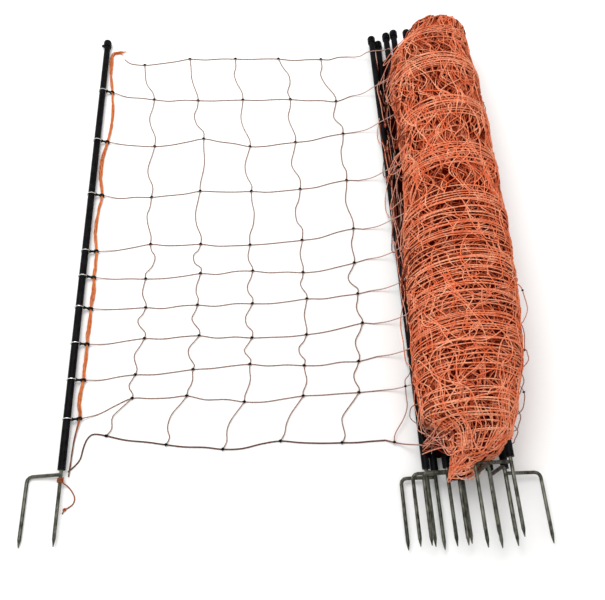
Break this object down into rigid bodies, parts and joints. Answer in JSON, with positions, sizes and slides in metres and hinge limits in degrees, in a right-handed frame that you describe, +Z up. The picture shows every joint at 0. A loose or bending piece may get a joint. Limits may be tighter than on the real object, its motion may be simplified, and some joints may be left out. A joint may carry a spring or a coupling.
{
  "type": "electric poultry netting roll",
  "caption": "Partly unrolled roll of electric poultry netting on step-in plastic posts with double steel spikes; clips and wire rings hold its edge cord to a loose end post",
  "frame": {"origin": "on the ground under the middle of the roll, at the middle of its flat underside", "axes": "+Y along the posts from their spikes to their tops, +X from the unrolled net towards the roll, +Z up"},
  "size_m": [0.9757, 1.3085, 0.2149],
  "materials": {
    "black_plastic": "satin",
    "galvanised_steel": "satin",
    "bright_wire": "satin",
    "orange_strand": "matte",
    "net_strand": "matte",
    "tie_twine": "matte"
  },
  "bodies": {
    "roll": {"roll_core": "orange_strand", "roll_strand_01": "orange_strand", "roll_strand_02": "orange_strand", "roll_strand_03": "orange_strand", "roll_strand_04": "orange_strand", "roll_strand_05": "orange_strand", "roll_strand_06": "orange_strand", "roll_strand_07": "orange_strand", "roll_strand_08": "orange_strand", "roll_strand_09": "orange_strand", "roll_strand_10": "orange_strand", "roll_strand_11": "orange_strand", "roll_post_1": "black_plastic", "roll_foot_1": "galvanised_steel", "roll_cap_1": "black_plastic", "roll_post_2": "black_plastic", "roll_foot_2": "galvanised_steel", "roll_cap_2": "black_plastic", "roll_post_3": "black_plastic", "roll_foot_3": "galvanised_steel", "roll_cap_3": "black_plastic", "roll_post_4": "black_plastic", "roll_foot_4": "galvanised_steel", "roll_cap_4": "black_plastic", "roll_post_5": "black_plastic", "roll_foot_5": "galvanised_steel", "roll_cap_5": "black_plastic", "roll_post_6": "black_plastic", "roll_foot_6": "galvanised_steel", "roll_cap_6": "black_plastic", "roll_post_7": "black_plastic", "roll_foot_7": "galvanised_steel", "roll_cap_7": "black_plastic", "roll_post_8": "black_plastic", "roll_foot_8": "galvanised_steel", "roll_cap_8": "black_plastic"},
    "panel": {"net_panel": "net_strand", "edge_cord": "orange_strand", "foot_tie": "tie_twine", "strand_clip_1": "black_plastic", "strand_clip_2": "black_plastic", "strand_clip_3": "black_plastic", "strand_clip_4": "black_plastic", "strand_clip_5": "black_plastic", "strand_clip_6": "black_plastic", "strand_clip_7": "black_plastic", "strand_clip_8": "black_plastic", "strand_clip_9": "black_plastic", "clip_ring_1": "bright_wire", "clip_ring_2": "bright_wire", "clip_ring_3": "bright_wire", "clip_ring_4": "bright_wire", "clip_ring_5": "bright_wire", "clip_ring_6": "bright_wire", "clip_ring_7": "bright_wire", "clip_ring_8": "bright_wire", "clip_ring_9": "bright_wire"},
    "end_post": {"end_post": "black_plastic", "end_cap": "black_plastic", "end_foot": "galvanised_steel"}
  },
  "joints": [
    {"name": "panel_fold", "type": "hinge", "parent": "roll", "child": "panel", "pos_m": [-0.175, 0, 0.0035], "axis": [0, 1, 0], "range_deg": [0, 105]},
    {"name": "end_post_turn", "type": "hinge", "parent": "panel", "child": "end_post", "pos_m": [-0.79, 0, 0.01074], "axis": [0, 1, 0], "range_deg": [0, 150]}
  ]
}
